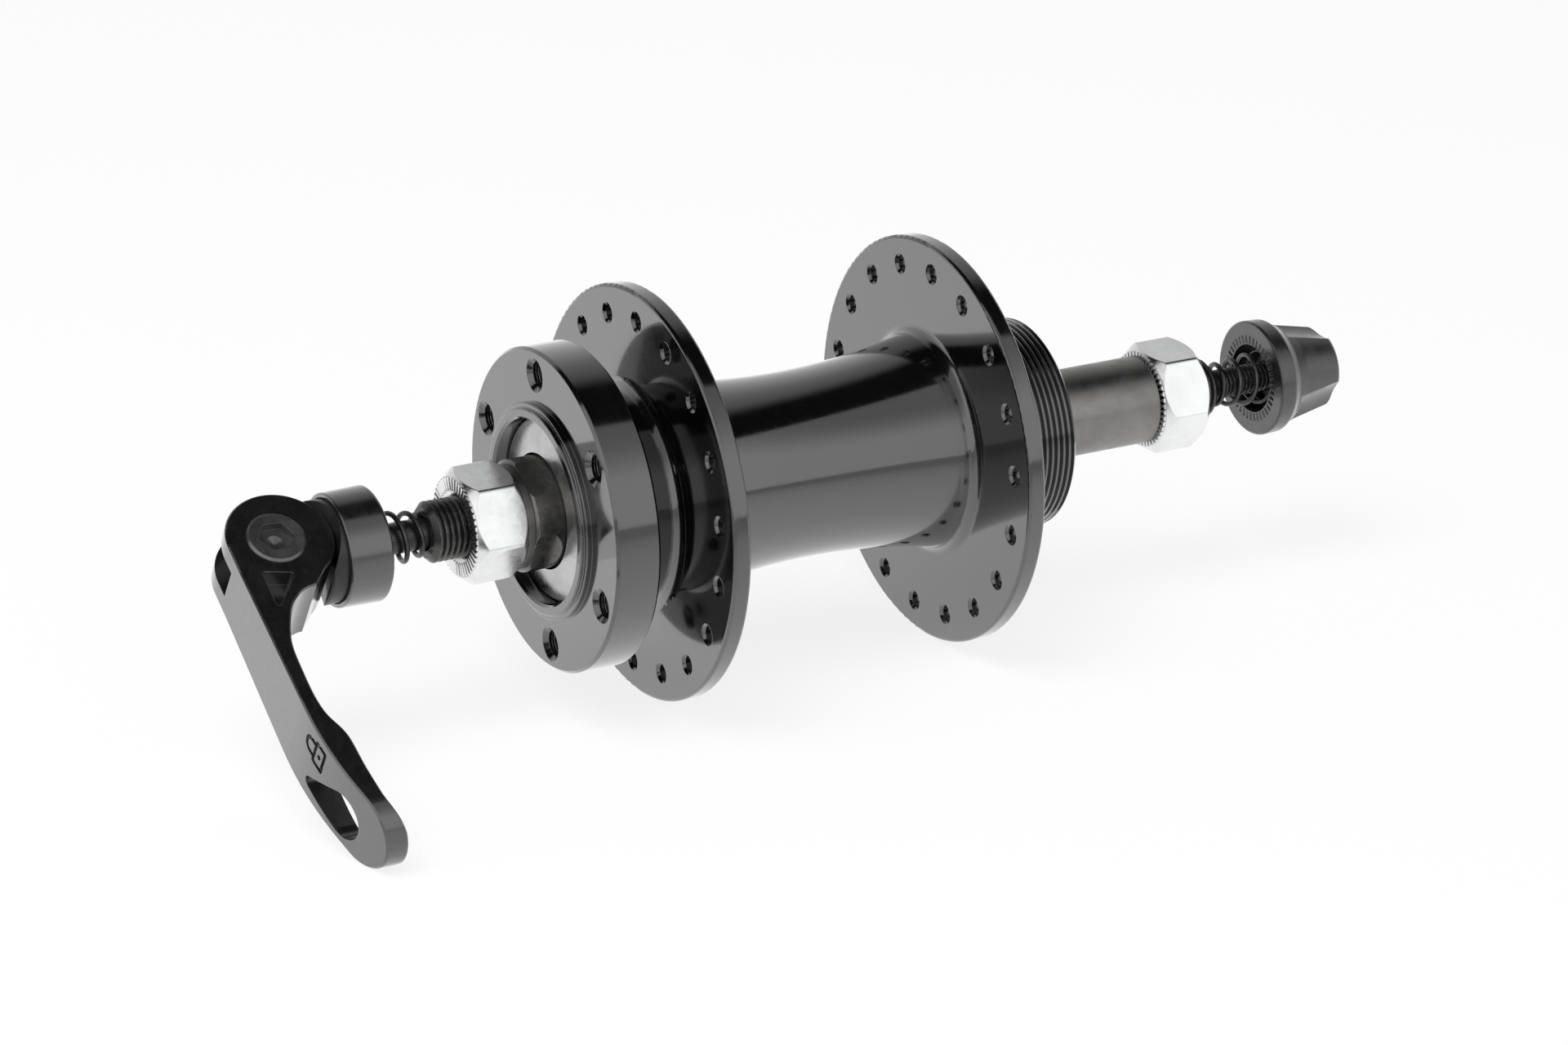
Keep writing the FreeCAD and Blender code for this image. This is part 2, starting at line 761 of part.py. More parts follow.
def seen_from_outside(face):
    # Stands a face drawn in the arm's plan up into a tall prism.
    solid = face.extrude(FreeCAD.Vector(0, 0, lever_stock))
    solid.translate(FreeCAD.Vector(0, 0, -lever_stock / 2))
    solid.rotate(FreeCAD.Vector(0, 0, 0), FreeCAD.Vector(1, 0, 0), 90)
    return solid


def rounded_plate(length, width, round_r):
    # A rounded rectangle about the padlock's middle, in the arm's plan.
    x = length / 2
    y = width / 2
    ends = [(x, -y), (x, y), (-x, y), (-x, -y)]
    return Part.Face(closed_wire([(flat(mark_at + a, mark_side + b), round_r) for a, b in ends]))


def padlock_tool(body):
    # A plain padlock, cut to an even depth below the arm's curved outer face.
    outer = rounded_plate(mark_length, mark_width, mark_round)
    inner_length = mark_length - 2 * shackle_wire
    inner_width = mark_width - 2 * shackle_wire
    case = outer.cut(rounded_plate(inner_length, inner_width, mark_inner_round))
    keyhole = Part.makeCylinder(keyhole_r, lever_stock, FreeCAD.Vector(mark_at, 0, mark_side),
                                FreeCAD.Vector(0, 1, 0))
    high = mark_at - mark_length / 2
    top = high - shackle_leg
    inner = shackle_r - shackle_wire

    def leg(r, side):
        return flat(high + shackle_wire / 2, mark_side + side * r), flat(top, mark_side + side * r)

    out_low, out_high = leg(shackle_r, 1)
    in_low, in_high = leg(inner, 1)
    far_in_low, far_in_high = leg(inner, -1)
    far_out_low, far_out_high = leg(shackle_r, -1)
    edges = [
        Part.LineSegment(out_low, out_high).toShape(),
        Part.Arc(out_high, flat(top - shackle_r, mark_side), far_out_high).toShape(),
        Part.LineSegment(far_out_high, far_out_low).toShape(),
        Part.LineSegment(far_out_low, far_in_low).toShape(),
        Part.LineSegment(far_in_low, far_in_high).toShape(),
        Part.Arc(far_in_high, flat(top - inner, mark_side), in_high).toShape(),
        Part.LineSegment(in_high, in_low).toShape(),
        Part.LineSegment(in_low, out_low).toShape()]
    shackle = Part.Face(Part.Wire(edges))
    mark = seen_from_outside(case).fuse([seen_from_outside(shackle), keyhole])
    kept = body.copy()
    kept.translate(FreeCAD.Vector(0, -mark_depth, 0))
    below = Part.makeBox(2 * tip_centre, lever_stock, lever_stock)
    bottom = outer_level - arm_mark_reach - lever_stock
    below.translate(FreeCAD.Vector(0, bottom, -lever_stock / 2))
    return mark.cut(kept).cut(below)


def chamfered_outline(body):
    # Breaks the long edges between the arm's faces and its sides.
    edges = []
    for e in body.Edges:
        box = e.BoundBox
        along = box.XLength > 1e-3
        one_side = box.ZMin > 1 or box.ZMax < -1 or abs(box.ZMin + box.ZMax) > 1e-3
        if along and one_side:
            edges.append(e)
    return body.makeChamfer(lever_edge_chamfer, edges)


def make_lever():
    profile = side_profile()
    across = FreeCAD.Vector(0, 0, lever_stock)
    start = FreeCAD.Vector(0, 0, -lever_stock / 2)
    blank = profile.extrude(across)
    blank.translate(start)
    body = chamfered_outline(blank.common(lever_plan()))
    pin_hole = Part.makeCylinder(pin_r, lever_stock, start)
    seat = -head_half_width + pin_head_height - pin_head_stand
    counterbore = Part.makeCylinder(pin_head_r + lever_counterbore_play, seat + lever_stock / 2, start)
    tools = slot_tools() + [grip_hole_tool(), pin_hole, counterbore, pocket_tool()]
    tools.append(padlock_tool(body))
    return placed(cut_all(body, tools))


def make_pivot_pin():
    top = -head_half_width - pin_head_stand
    seat = top + pin_head_height
    end = head_half_width - pin_short
    head = Part.makeCylinder(pin_head_r, pin_head_height, FreeCAD.Vector(0, 0, top))
    rim = [e for e in head.Edges if abs(e.CenterOfMass.z - top) < 1e-6]
    head = head.makeChamfer(pin_head_chamfer, rim)
    shank = Part.makeCylinder(pin_r - pin_seat_play, end - seat, FreeCAD.Vector(0, 0, seat))
    corner_r = pin_socket_flats / 2 / math.cos(math.radians(30))
    corners = []
    for i in range(7):
        angle = math.radians(60 * i + pin_socket_turn)
        x = corner_r * math.cos(angle)
        y = corner_r * math.sin(angle)
        corners.append(FreeCAD.Vector(x, y, top - cut_over))
    deep = FreeCAD.Vector(0, 0, pin_socket_depth + cut_over)
    socket = Part.Face(Part.makePolygon(corners)).extrude(deep)
    tip = FreeCAD.Vector(0, 0, top + pin_socket_depth)
    point_cone = Part.makeCone(pin_drill_r, 0, pin_drill_depth, tip)
    return placed(head.fuse(shank).cut(socket).cut(point_cone).removeSplitter())


def make_rod():
    root = rod_r - rod_pitch * thread_depth_share
    start = rod_end_y + rod_chamfer
    root_y = pivot_y - eye_r + eye_root
    outline = [(rod_end_y, 0), (rod_end_y, rod_r - rod_chamfer)]
    outline += thread_outline(start, start + rod_thread_length, rod_r, root, rod_pitch)
    outline += [(root_y, rod_r), (root_y, 0)]
    shank = turned(outline)
    half = eye_thickness / 2
    eye = Part.makeCylinder(eye_r, eye_thickness, FreeCAD.Vector(0, 0, -half))
    through = FreeCAD.Vector(0, 0, -eye_thickness)
    hole = Part.makeCylinder(pin_r + pin_play, eye_thickness * 2, through)
    return shank.fuse(placed(eye)).cut(placed(hole))


def make_cam_bush():
    c = bush_chamfer
    floor_y = cap_left_y - cap_rim_depth
    body = turned([
        (floor_y, rod_r + rod_play), (floor_y, bush_r - c), (floor_y + c, bush_r),
        (bush_top_y - c, bush_r), (bush_top_y, bush_r - c), (bush_top_y, rod_r + rod_play)])
    bottom = -head_offset - head_r - cam_gap
    start = FreeCAD.Vector(0, bottom + saddle_r, -lever_stock / 2)
    saddle = Part.makeCylinder(saddle_r, lever_stock, start)
    return body.cut(placed(saddle))


def make_cap():
    body = turned([
        (cap_right_y, cap_recess_r), (cap_right_y, cap_right_r, cap_round_right),
        (cap_left_y, cap_left_r, cap_round_left), (cap_left_y, cap_rim_r),
        (cap_left_y - cap_rim_depth, cap_rim_r), (cap_left_y - cap_rim_depth, rod_r + rod_play),
        (cap_right_y + cap_recess_depth, rod_r + rod_play),
        (cap_right_y + cap_recess_depth, cap_recess_r)])
    tools = teeth_tools(cap_right_y, -1, cap_teeth_inner_r, cap_teeth_outer_r, cap_teeth_count)
    return cut_all(body, tools)


def make_adjusting_nut():
    face = nut_knob_face_y
    end = face - knob_length
    base_y = face - knob_base_at
    taper = (knob_base_r - knob_end_r) / (base_y - end)
    body = turned([
        (face, knob_recess_r), (face, flange_face_r, flange_face_round),
        (face - flange_band_at, flange_band_r, flange_band_round),
        (face - flange_foot_at, flange_foot_r, flange_foot_round),
        (base_y, knob_base_r), (end, knob_end_r, knob_end_round),
        (end, insert_r - insert_mouth),
        (end + insert_lip, insert_r + press_gap),
        (end + insert_lip + insert_length, insert_r + press_gap),
        (end + insert_lip + insert_length, rod_r + thread_play),
        (face - knob_recess_depth, rod_r + thread_play),
        (face - knob_recess_depth, knob_recess_r)])
    origin = FreeCAD.Vector(0, 0, 0)
    cutter = Part.makeCylinder(flute_r, knob_length, origin, FreeCAD.Vector(0, -1, 0))
    cutter.rotate(origin, FreeCAD.Vector(1, 0, 0), math.degrees(math.atan(taper)))
    lift = taper * (base_y - end)
    cutter.translate(FreeCAD.Vector(0, base_y, flute_centre_r + lift))
    tools = ring_of(cutter, flute_count, flute_turn)
    tools += teeth_tools(face, 1, knob_teeth_inner_r, knob_teeth_outer_r, knob_teeth_count)
    return cut_all(body, tools)


def make_nut_insert():
    start = nut_knob_face_y - knob_length + insert_lip
    return turned([
        (start, rod_r + thread_play), (start, insert_r), (start + insert_length, insert_r),
        (start + insert_length, rod_r + thread_play)])


# Springs: one tube each along arcs that follow a tapering coil

def biarc(p0, t0, p1, t1):
    chord = p1 - p0
    tangents = t0 + t1
    a = 2 * (1 - t0.dot(t1))
    b = chord.dot(tangents)
    d = (-b + math.sqrt(b * b + a * chord.dot(chord))) / a
    first = p0 + t0 * d
    second = p1 - t1 * d
    joint = (first + second) * 0.5
    return [arc_from_legs(p0, first, joint), arc_from_legs(joint, second, p1)]


def arc_from_legs(start, apex, end):
    middle = (start + end) * 0.5
    rise = apex - middle
    half_chord = (end - start).Length / 2
    turn = math.atan2(rise.Length, half_chord)
    top = middle + rise.normalize() * (half_chord * math.tan(turn / 2))
    return Part.Arc(start, top, end).toShape()


def coil_place(t, turns, start_y, end_y, start_r, end_r):
    # The first and last part of a turn lie close, and the rest share what is left.
    span = abs(end_y - start_y)
    closed = spring_closed_turns * spring_closed_pitch
    pitch = (span - 2 * closed) / (turns - 2 * spring_closed_turns)
    if t < spring_closed_turns:
        along = t * spring_closed_pitch
    elif t > turns - spring_closed_turns:
        along = span - (turns - t) * spring_closed_pitch
    else:
        along = closed + (t - spring_closed_turns) * pitch
    y = start_y + math.copysign(along, end_y - start_y)
    r = start_r + (end_r - start_r) * t / turns
    angle = 2 * math.pi * t
    return FreeCAD.Vector(r * math.sin(angle), y, r * math.cos(angle))


def coil_spring(name, turns, start_y, end_y, start_r, end_r):
    def place(t):
        return coil_place(t, turns, start_y, end_y, start_r, end_r)

    def heading(t):
        step = 0.01
        low = max(t - step, 0.0)
        high = min(t + step, turns)
        return (place(high) - place(low)).normalize()

    quarter = 0.25
    count = int(round(turns / quarter))
    stops = [place(i * quarter) for i in range(count + 1)]
    headings = [heading(i * quarter) for i in range(count + 1)]
    edges = []
    for i in range(count):
        edges += biarc(stops[i], headings[i], stops[i + 1], headings[i + 1])
    path = Part.Wire(edges)
    ring = Part.Circle(stops[0], headings[0], wire_r).toShape()
    pipe = Part.BRepOffsetAPI.MakePipeShell(path)
    pipe.add(Part.Wire([ring]))
    pipe.build()
    pipe.makeSolid()
    steps = 600
    samples = [place(turns * i / steps) for i in range(steps + 1)]
    apart = int(steps / turns * 0.6)
    gap = min((samples[i] - samples[j]).Length
              for i in range(steps + 1) for j in range(i + apart, steps + 1)) - 2 * wire_r
    solid = Part.Solid(pipe.shape()) if pipe.shape().ShapeType == "Shell" else pipe.shape()
    expected = math.pi * wire_r ** 2 * path.Length
    print(name, "least gap to itself", round(gap, 3), "volume share", round(solid.Volume / expected, 4))
    return solid


def make_spring_left():
    seat = spring_seat_gap + wire_r
    return coil_spring("spring_left", spring_turns, axle_left_y + seat,
                       cap_right_y + cap_recess_depth - seat,
                       spring_small_r, spring_left_big_r)


def make_spring_right():
    seat = spring_seat_gap + wire_r
    return coil_spring("spring_right", spring_turns, axle_right_y - seat,
                       nut_knob_face_y - knob_recess_depth + seat,
                       spring_small_r, spring_right_big_r)


def build():
    return {
        "axle": make_axle(),
        "cone_left": make_cone_left(),
        "cone_right": make_cone_right(),
        "washer_left": keyed_washer(cone_left_y, washer_left_y, washer_left_r),
        "washer_right": keyed_washer(spacer_left_y, cone_right_y, washer_right_r),
        "spacer_right": make_spacer(),
        "locknut_left": locknut(washer_left_y, lock_left_y, lock_left_y, nut_left_turn),
        "locknut_right": locknut(spacer_right_y, lock_right_y, spacer_right_y, nut_right_turn),
        "hub_shell": make_hub_shell(),
        "bearing_cup_left": bearing_cup(ball_left_y, 1),
        "bearing_cup_right": bearing_cup(ball_right_y, -1),
        "dust_cap_left": dust_cap(
            cup_left_seat_y + dust_seat_gap, lip_top_y - dust_left_sunk,
            cone_left_r + dust_gap, dust_dish),
        "dust_cap_right": dust_cap(
            cup_right_seat_y - dust_seat_gap, hub_end_y + dust_right_sunk,
            cone_right_r + dust_gap, dust_right_dish),
        "bearing_balls_left": ball_set(ball_left_y),
        "bearing_balls_right": ball_set(ball_right_y),
        "skewer_rod": make_rod(),
        "lever": make_lever(),
        "pivot_pin": make_pivot_pin(),
        "cam_bush": make_cam_bush(),
        "skewer_cap": make_cap(),
        "adjusting_nut": make_adjusting_nut(),
        "nut_insert": make_nut_insert(),
        "spring_left": make_spring_left(),
        "spring_right": make_spring_right(),
    }


os.makedirs("parts", exist_ok=True)
for node, shape in build().items():
    shape.exportStep("parts/" + node + ".step")
    print(node, shape.isValid(), len(shape.Solids), round(shape.Volume, 1))
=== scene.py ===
import json
import math

import bpy
from mathutils import Matrix, Vector


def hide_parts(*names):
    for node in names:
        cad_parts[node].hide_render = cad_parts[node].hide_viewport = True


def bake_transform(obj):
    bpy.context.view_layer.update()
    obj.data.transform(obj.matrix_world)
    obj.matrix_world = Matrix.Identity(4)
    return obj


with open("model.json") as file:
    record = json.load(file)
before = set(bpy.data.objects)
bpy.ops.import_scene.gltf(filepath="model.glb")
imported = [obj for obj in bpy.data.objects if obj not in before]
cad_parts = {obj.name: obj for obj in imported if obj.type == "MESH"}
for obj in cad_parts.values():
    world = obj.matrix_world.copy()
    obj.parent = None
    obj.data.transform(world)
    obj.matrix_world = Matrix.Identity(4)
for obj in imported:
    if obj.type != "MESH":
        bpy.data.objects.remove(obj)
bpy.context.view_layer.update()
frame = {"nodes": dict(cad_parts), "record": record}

nodes = frame["nodes"]
MM = 0.001

# Places shared with the CAD source, in millimetres
FLOOR_Z = -33.72
AXLE_LEFT_Y = 72.9
AXLE_RIGHT_Y = -71.6
LEFT_SEAT_Y = 85.0
RIGHT_SEAT_Y = -84.1
WIRE_R = 0.42
SPRING_TURNS = 4.5
SPRING_SMALL_R = 3.05
LEFT_BIG_R = 5.2
RIGHT_BIG_R = 4.6
SEAT_GAP = 0.1
CLOSED_PITCH = 1.45
CLOSED_TURNS = 0.75

# How finely a spring's wire is drawn
WIRE_STEPS = 324
WIRE_SIDES = 16

# The camera, as fitted to the photograph: its place in millimetres and its axes
CAMERA_AT = (-691.8, 387.9, 286.8)
CAMERA_RIGHT = (-0.48045, -0.87702, 0.0)
CAMERA_UP = (0.30865, -0.16912, 0.93602)
CAMERA_BACK = (-0.82091, 0.44970, 0.35195)
CAMERA_LENS = 119.71
CAMERA_SENSOR = 36.0

# The level directions from the part to the front wall, and along that wall
TO_FRONT = (-0.877, 0.48, 0.0)
ALONG_FRONT = (-0.48, -0.877, 0.0)

# Light levels of the two walls, the gap over the part and the floor
FRONT_LOW = 1.15
FRONT_TOP = 0.52
BACK_LOW = 0.82
BACK_MID = 0.6
BACK_TOP = 0.32
GAP_LEVEL = 0.01
FLOOR_GLOW = 0.83
FLOOR_NEAR = 1.06
FLOOR_FAR = 0.45
FLOOR_NEAR_AT = 0.04
FLOOR_FAR_AT = 0.25
FLOOR_GREY = 0.8
FLOOR_HALF = 4.0

# Where the walls begin and end on a ceiling at unit height, and the front one's slant
FRONT_EDGE = (0.11, 0.17)
BACK_EDGE = (-0.78, -0.44)
FRONT_SLANT = 0.2
BESIDE_LIMITS = (-0.5, 1.5)
LOWEST_RISE = 0.02

# Heights, as the sine of the elevation, between which the walls fade
FRONT_FADE = (0.45, 0.84)
BACK_FADE_LOW = (0.0, 0.5)
BACK_FADE_HIGH = (0.5, 0.8)

# The soft lamp, in metres and watts
KEY_AT = (-0.25, 0.45, 0.9)
KEY_SIZE = 0.7
KEY_POWER = 7.0

# Finishes: scales of the noise per metre, and the bounds that cut marks out of it
CLOUD_SCALE = 130.0
CLOUD_BOUNDS = (0.3, 0.7)
SMEAR_SCALE = 420.0
SMEAR_BOUNDS = (0.3, 0.72)
SPOT_SCALE = 2600.0
SPOT_BOUNDS = (0.66, 0.74)
WEAR_SCALE = 700.0
WEAR_BOUNDS = (0.42, 0.62)
WEAR_SHARE = 0.8
BROAD_MARK_SHARE = 0.6
EDGE_COSINES = (0.995, 0.9)
BEVEL_SAMPLES = 6
BUMP_DISTANCE = 0.1
COAT_IOR = 1.5


# Node trees

class Tree:
    """Short calls for building one material's or world's nodes."""

    def __init__(self, tree):
        self.tree = tree
        self.tree.nodes.clear()

    def add(self, kind, settings=None, **inputs):
        node = self.tree.nodes.new(kind)
        for key, value in (settings or {}).items():
            setattr(node, key, value)
        for key, value in inputs.items():
            self.put(node, key.replace("_", " "), value)
        return node

    def put(self, node, key, value):
        if hasattr(value, "is_output"):
            self.tree.links.new(value, node.inputs[key])
        else:
            node.inputs[key].default_value = value

    def math(self, operation, a, b=0.0):
        node = self.tree.nodes.new("ShaderNodeMath")
        node.operation = operation
        self.put(node, 0, a)
        self.put(node, 1, b)
        return node.outputs[0]

    def ramp(self, value, low, high, to_low=0.0, to_high=1.0, smooth=True):
        node = self.tree.nodes.new("ShaderNodeMapRange")
        node.interpolation_type = "SMOOTHSTEP" if smooth else "LINEAR"
        for key, v in zip(range(5), (value, low, high, to_low, to_high)):
            self.put(node, key, v)
        return node.outputs[0]

    def mix(self, factor, a, b):
        node = self.tree.nodes.new("ShaderNodeMix")
        node.data_type = "RGBA"
        self.put(node, 0, factor)
        self.put(node, 6, a)
        self.put(node, 7, b)
        return node.outputs[2]

    def noise(self, vector, scale, detail=3.0, rough=0.5, distort=0.0):
        node = self.add("ShaderNodeTexNoise", Vector=vector, Scale=scale,
                        Detail=detail, Roughness=rough, Distortion=distort)
        return node.outputs["Fac"]


def grey(value, warm=0.0):
    return (value * (1 + warm), value, value * (1 - warm), 1.0)


def turned_coordinates(t, point):
    """The radius and the place along the axle, so that marks run round the axle."""
    parts = t.add("ShaderNodeSeparateXYZ", Vector=point)
    x2 = t.math("MULTIPLY", parts.outputs[0], parts.outputs[0])
    z2 = t.math("MULTIPLY", parts.outputs[2], parts.outputs[2])
    radius = t.math("SQRT", t.math("ADD", x2, z2))
    both = t.add("ShaderNodeCombineXYZ", X=radius, Y=parts.outputs[1], Z=0.0)
    return both.outputs[0]


def edge_mask(t, bevel_normal):
    """One on the solid's edges and zero on its faces."""
    geometry = t.add("ShaderNodeNewGeometry")
    dot = t.add("ShaderNodeVectorMath", {"operation": "DOT_PRODUCT"})
    t.put(dot, 0, geometry.outputs["Normal"])
    t.put(dot, 1, bevel_normal)
    return t.ramp(dot.outputs["Value"], *EDGE_COSINES)


def finish_material(name, base, metallic, rough, rough_spread, vary, warm=0.0, ior=1.5,
                    coat=0.0, coat_rough=0.05, marks="grain", mark_scale=900.0,
                    mark_depth=0.02, edge=0.12, edge_base=None, speck=0.0,
                    speck_base=None):
    """A grey finish with clouds, marks and worn edges. Scales are per metre, edge in mm."""
    material = bpy.data.materials.new(name)
    material.use_nodes = True
    t = Tree(material.node_tree)
    point = t.add("ShaderNodeTexCoord").outputs["Object"]
    bevel = t.add("ShaderNodeBevel", {"samples": BEVEL_SAMPLES},
                  Radius=edge * MM).outputs[0]

    # Colour: broad clouds, and bare or dusty edges
    cloud = t.noise(point, CLOUD_SCALE, 4.0, 0.6, 0.4)
    dark = grey(base * (1 - vary), warm)
    light = grey(base * (1 + vary), warm)
    colour = t.mix(t.ramp(cloud, *CLOUD_BOUNDS), dark, light)
    smear = t.noise(point, SMEAR_SCALE, 5.0, 0.65, 1.2)
    rough_value = t.ramp(smear, *SMEAR_BOUNDS, rough - rough_spread,
                         rough + rough_spread)
    if speck:
        spots = t.ramp(t.noise(point, SPOT_SCALE, 2.0, 0.5), *SPOT_BOUNDS)
        spot_share = t.math("MULTIPLY", spots, speck)
        colour = t.mix(spot_share, colour, grey(speck_base, warm))
    if edge_base is not None:
        mask = edge_mask(t, bevel)
        broken = t.ramp(t.noise(point, WEAR_SCALE, 3.0, 0.6), *WEAR_BOUNDS)
        worn = t.math("MULTIPLY", mask, t.math("MULTIPLY", broken, WEAR_SHARE))
        colour = t.mix(worn, colour, grey(edge_base, warm))

    # Relief: tool marks round the axle, cast grain, or both
    heights = []
    if marks in ("turned", "both"):
        rings = turned_coordinates(t, point)
        fine = t.noise(rings, mark_scale * 6, 3.0, 0.6)
        broad = t.noise(rings, mark_scale, 2.0, 0.5)
        faint = t.math("MULTIPLY", broad, BROAD_MARK_SHARE)
        heights.append(t.math("ADD", fine, faint))
    if marks in ("grain", "both"):
        heights.append(t.noise(point, mark_scale * 3, 4.0, 0.6))
    height = heights[0] if len(heights) == 1 else t.math("ADD", heights[0], heights[1])
    bump = t.add("ShaderNodeBump", Strength=mark_depth, Distance=BUMP_DISTANCE * MM,
                 Height=height, Normal=bevel)

    shader = t.add("ShaderNodeBsdfPrincipled", Metallic=metallic, IOR=ior,
                   Coat_Weight=coat, Coat_Roughness=coat_rough, Coat_IOR=COAT_IOR,
                   Base_Color=colour, Roughness=rough_value, Normal=bump.outputs[0])
    if coat:
        t.put(shader, "Coat Normal", bump.outputs[0])
    out = t.add("ShaderNodeOutputMaterial")
    t.put(out, "Surface", shader.outputs[0])
    return material


materials = {
    "black_anodised_alloy": finish_material(
        "black_anodised_alloy", 0.002, 0.0, 0.12, 0.035, 0.4, ior=1.9, coat=1.0,
        coat_rough=0.05, marks="turned", mark_scale=900.0, mark_depth=0.012,
        edge=0.18),
    "black_painted_alloy": finish_material(
        "black_painted_alloy", 0.006, 0.0, 0.22, 0.06, 0.3, ior=1.9, coat=1.0,
        coat_rough=0.14, marks="grain", mark_scale=700.0, mark_depth=0.05,
        edge=0.2, edge_base=0.05),
    "satin_black_alloy": finish_material(
        "satin_black_alloy", 0.008, 0.0, 0.3, 0.07, 0.35, ior=1.7, coat=0.6,
        coat_rough=0.2, marks="turned", mark_scale=1300.0, mark_depth=0.04,
        edge=0.25, edge_base=0.04),
    "black_oxide_steel": finish_material(
        "black_oxide_steel", 0.065, 0.9, 0.3, 0.08, 0.35, warm=0.02, marks="both",
        mark_scale=1500.0, mark_depth=0.05, edge=0.07, edge_base=0.4),
    "phosphated_steel": finish_material(
        "phosphated_steel", 0.14, 0.85, 0.3, 0.08, 0.3, warm=0.03, marks="both",
        mark_scale=1200.0, mark_depth=0.06, edge=0.12, edge_base=0.45, speck=0.3,
        speck_base=0.3),
    "dark_steel": finish_material(
        "dark_steel", 0.22, 1.0, 0.34, 0.05, 0.12, warm=0.02, marks="turned",
        mark_scale=1600.0, mark_depth=0.05, edge=0.1, edge_base=0.5),
    "zinc_plate": finish_material(
        "zinc_plate", 0.84, 1.0, 0.2, 0.06, 0.05, warm=-0.005, marks="grain",
        mark_scale=330.0, mark_depth=0.08, edge=0.3, edge_base=0.7, speck=0.12,
        speck_base=0.6),
    "pressed_steel": finish_material(
        "pressed_steel", 0.48, 1.0, 0.24, 0.06, 0.1, marks="both", mark_scale=600.0,
        mark_depth=0.04, edge=0.1, edge_base=0.6),
    "bearing_steel": finish_material(
        "bearing_steel", 0.62, 1.0, 0.1, 0.04, 0.06, marks="turned", mark_scale=2000.0,
        mark_depth=0.02, edge=0.05),
    "dark_screw_steel": finish_material(
        "dark_screw_steel", 0.14, 0.85, 0.32, 0.08, 0.3, marks="grain",
        mark_scale=1500.0, mark_depth=0.06, edge=0.1, edge_base=0.3),
    "spring_steel": finish_material(
        "spring_steel", 0.07, 0.9, 0.28, 0.08, 0.3, marks="grain", mark_scale=2000.0,
        mark_depth=0.05, edge=0.03),
    "black_plastic": finish_material(
        "black_plastic", 0.012, 0.0, 0.34, 0.06, 0.3, ior=1.5, marks="grain",
        mark_scale=900.0, mark_depth=0.06, edge=0.15),
    "white_nylon": finish_material(
        "white_nylon", 0.75, 0.0, 0.45, 0.06, 0.05, warm=0.02, ior=1.53, marks="grain",
        mark_scale=900.0, mark_depth=0.06, edge=0.15),
}

for part in frame["record"]["subparts"]:
    mesh = nodes[part["node"]].data
    mesh.materials.clear()
    mesh.materials.append(materials[part["material_slot"]])


# Springs: drawn anew with a rounder wire, in place of the part's own springs, which are
# hidden

def coil_point(turn, start_y, end_y, start_r, end_r):
    """A point of the wire's centre line, with closer coils at both ends."""
    span = abs(end_y - start_y)
    closed = CLOSED_TURNS * CLOSED_PITCH
    pitch = (span - 2 * closed) / (SPRING_TURNS - 2 * CLOSED_TURNS)
    if turn < CLOSED_TURNS:
        along = turn * CLOSED_PITCH
    elif turn > SPRING_TURNS - CLOSED_TURNS:
        along = span - (SPRING_TURNS - turn) * CLOSED_PITCH
    else:
        along = closed + (turn - CLOSED_TURNS) * pitch
    y = start_y + math.copysign(along, end_y - start_y)
    r = start_r + (end_r - start_r) * turn / SPRING_TURNS
    angle = 2 * math.pi * turn
    return Vector((r * math.sin(angle), y, r * math.cos(angle))) * MM


def spring(name, node, start_y, end_y, end_r):
    """A round wire swept along the coil, with its ends cut square."""
    steps, sides = WIRE_STEPS, WIRE_SIDES
    sign = math.copysign(1, end_y - start_y)
    low = start_y + sign * (SEAT_GAP + WIRE_R)
    high = end_y - sign * (SEAT_GAP + WIRE_R)
    centre = [coil_point(SPRING_TURNS * i / steps, low, high, SPRING_SMALL_R, end_r)
              for i in range(steps + 1)]
    vertices = []
    for i, c in enumerate(centre):
        along = (centre[min(i + 1, steps)] - centre[max(i - 1, 0)]).normalized()
        out = Vector((c.x, 0, c.z)).normalized()
        across = along.cross(out).normalized()
        out = across.cross(along)
        for k in range(sides):
            a = 2 * math.pi * k / sides
            vertices.append(c + (out * math.cos(a) + across * math.sin(a)) * WIRE_R * MM)
    faces = []
    for i in range(steps):
        for k in range(sides):
            a, b = i * sides + k, i * sides + (k + 1) % sides
            faces.append((a, b, b + sides, a + sides))
    faces.append(tuple(range(sides))[::-1])
    faces.append(tuple(range(steps * sides, (steps + 1) * sides)))
    mesh = bpy.data.meshes.new(name)
    mesh.from_pydata(vertices, [], faces)
    for face in mesh.polygons:
        face.use_smooth = len(face.vertices) == 4
    mesh.materials.append(materials["spring_steel"])
    piece = bpy.data.objects.new(name, mesh)
    bpy.context.scene.collection.objects.link(piece)
    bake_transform(piece)
    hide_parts(node)


spring("spring_left_wire", "spring_left", AXLE_LEFT_Y, LEFT_SEAT_Y, LEFT_BIG_R)
spring("spring_right_wire", "spring_right", AXLE_RIGHT_Y, RIGHT_SEAT_Y, RIGHT_BIG_R)


# Floor, world and lamps

